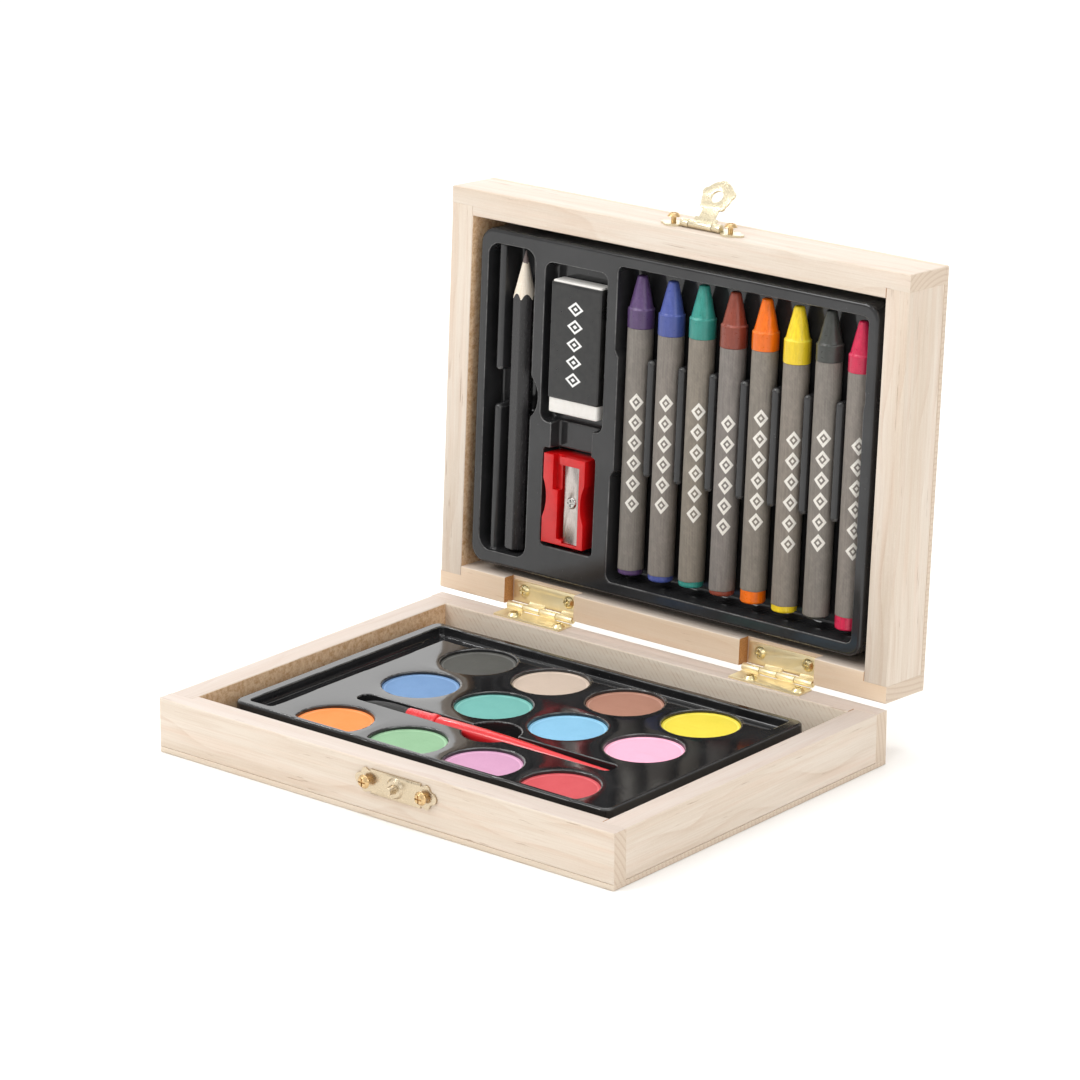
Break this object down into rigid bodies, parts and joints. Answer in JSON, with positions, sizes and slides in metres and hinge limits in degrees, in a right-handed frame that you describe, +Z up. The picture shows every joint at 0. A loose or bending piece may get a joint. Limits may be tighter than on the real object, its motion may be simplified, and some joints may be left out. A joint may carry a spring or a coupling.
{
  "type": "art set box",
  "caption": "Shallow hinged wooden art box, open: watercolour cakes and brush in the base, wax crayons, pencil, eraser and sharpener in the lid, hook-over latch.",
  "frame": {"origin": "centre of the base's underside", "axes": "+X to the right seen from the front, +Y to the back where the hinges are, +Z up; the lid stands open a few degrees past the vertical"},
  "size_m": [0.165, 0.1518, 0.1536],
  "materials": {
    "pine_rail": "matte",
    "plywood": "matte",
    "tray_plastic": "gloss",
    "brass_plate": "satin",
    "brass_pin": "satin",
    "screw": "polished",
    "brush_lacquer": "gloss",
    "bristle": "matte",
    "pencil_wood": "gloss",
    "graphite": "satin",
    "eraser_rubber": "matte",
    "eraser_paper": "satin",
    "sharpener_plastic": "gloss",
    "blade_steel": "satin",
    "blade_screw": "satin",
    "crayon_paper": "matte",
    "paint_black": "matte",
    "paint_beige": "matte",
    "paint_brown": "matte",
    "paint_yellow": "matte",
    "paint_blue": "matte",
    "paint_teal": "matte",
    "paint_sky": "matte",
    "paint_pink": "matte",
    "paint_orange": "matte",
    "paint_green": "matte",
    "paint_lilac": "matte",
    "paint_red": "matte",
    "wax_purple": "satin",
    "wax_blue": "satin",
    "wax_green": "satin",
    "wax_brown": "satin",
    "wax_orange": "satin",
    "wax_yellow": "satin",
    "wax_black": "satin",
    "wax_red": "satin"
  },
  "bodies": {
    "base": {"base_front_rail": "pine_rail", "base_back_rail": "pine_rail", "base_left_rail": "pine_rail", "base_right_rail": "pine_rail", "base_bottom_panel": "plywood", "paint_tray": "tray_plastic", "paint_black": "paint_black", "paint_beige": "paint_beige", "paint_brown": "paint_brown", "paint_yellow": "paint_yellow", "paint_blue": "paint_blue", "paint_teal": "paint_teal", "paint_sky": "paint_sky", "paint_pink": "paint_pink", "paint_orange": "paint_orange", "paint_green": "paint_green", "paint_lilac": "paint_lilac", "paint_red": "paint_red", "hinge_base_leaves": "brass_plate", "latch_strike_plate": "brass_plate", "hinge_pins": "brass_pin", "base_screws": "screw"},
    "lid": {"lid_front_rail": "pine_rail", "lid_back_rail": "pine_rail", "lid_left_rail": "pine_rail", "lid_right_rail": "pine_rail", "lid_top_panel": "plywood", "lid_tray": "tray_plastic", "hinge_lid_leaves": "brass_plate", "latch_hasp_plate": "brass_plate", "latch_pin": "brass_pin", "lid_screws": "screw"},
    "latch_flap": {"latch_flap": "brass_plate"},
    "brush": {"brush_handle": "brush_lacquer", "brush_bristles": "bristle"},
    "pencil": {"pencil_casing": "pencil_wood", "pencil_lead": "graphite"},
    "eraser": {"eraser_block": "eraser_rubber", "eraser_sleeve": "eraser_paper"},
    "sharpener": {"sharpener_body": "sharpener_plastic", "sharpener_blade": "blade_steel", "sharpener_screw": "blade_screw"},
    "crayon_purple": {"crayon_purple_wax": "wax_purple", "crayon_purple_sleeve": "crayon_paper"},
    "crayon_blue": {"crayon_blue_wax": "wax_blue", "crayon_blue_sleeve": "crayon_paper"},
    "crayon_green": {"crayon_green_wax": "wax_green", "crayon_green_sleeve": "crayon_paper"},
    "crayon_brown": {"crayon_brown_wax": "wax_brown", "crayon_brown_sleeve": "crayon_paper"},
    "crayon_orange": {"crayon_orange_wax": "wax_orange", "crayon_orange_sleeve": "crayon_paper"},
    "crayon_yellow": {"crayon_yellow_wax": "wax_yellow", "crayon_yellow_sleeve": "crayon_paper"},
    "crayon_black": {"crayon_black_wax": "wax_black", "crayon_black_sleeve": "crayon_paper"},
    "crayon_red": {"crayon_red_wax": "wax_red", "crayon_red_sleeve": "crayon_paper"}
  },
  "joints": [
    {"name": "lid_hinge", "type": "hinge", "parent": "base", "child": "lid", "pos_m": [0, 0.062, 0.0178], "axis": [-1, 0, 0], "range_deg": [-93.15, 86.5]},
    {"name": "latch_flap_pivot", "type": "hinge", "parent": "lid", "child": "latch_flap", "pos_m": [0.0069, 0.07177, 0.1425], "axis": [-1, 0, 0], "range_deg": [-130, 25]},
    {"name": "brush_lift", "type": "slide", "parent": "base", "child": "brush", "axis": [0, 0, 1], "range_m": [0, 0.03]},
    {"name": "pencil_lift", "type": "slide", "parent": "lid", "child": "pencil", "axis": [0, -0.9985, 0.055], "range_m": [0, 0.02]},
    {"name": "eraser_lift", "type": "slide", "parent": "lid", "child": "eraser", "axis": [0, -0.9985, 0.055], "range_m": [0, 0.015]},
    {"name": "sharpener_lift", "type": "slide", "parent": "lid", "child": "sharpener", "axis": [0, -0.9985, 0.055], "range_m": [0, 0.015]},
    {"name": "crayon_purple_lift", "type": "slide", "parent": "lid", "child": "crayon_purple", "axis": [0, -0.9985, 0.055], "range_m": [0, 0.02]},
    {"name": "crayon_blue_lift", "type": "slide", "parent": "lid", "child": "crayon_blue", "axis": [0, -0.9985, 0.055], "range_m": [0, 0.02]},
    {"name": "crayon_green_lift", "type": "slide", "parent": "lid", "child": "crayon_green", "axis": [0, -0.9985, 0.055], "range_m": [0, 0.02]},
    {"name": "crayon_brown_lift", "type": "slide", "parent": "lid", "child": "crayon_brown", "axis": [0, -0.9985, 0.055], "range_m": [0, 0.02]},
    {"name": "crayon_orange_lift", "type": "slide", "parent": "lid", "child": "crayon_orange", "axis": [0, -0.9985, 0.055], "range_m": [0, 0.02]},
    {"name": "crayon_yellow_lift", "type": "slide", "parent": "lid", "child": "crayon_yellow", "axis": [0, -0.9985, 0.055], "range_m": [0, 0.02]},
    {"name": "crayon_black_lift", "type": "slide", "parent": "lid", "child": "crayon_black", "axis": [0, -0.9985, 0.055], "range_m": [0, 0.02]},
    {"name": "crayon_red_lift", "type": "slide", "parent": "lid", "child": "crayon_red", "axis": [0, -0.9985, 0.055], "range_m": [0, 0.02]}
  ]
}
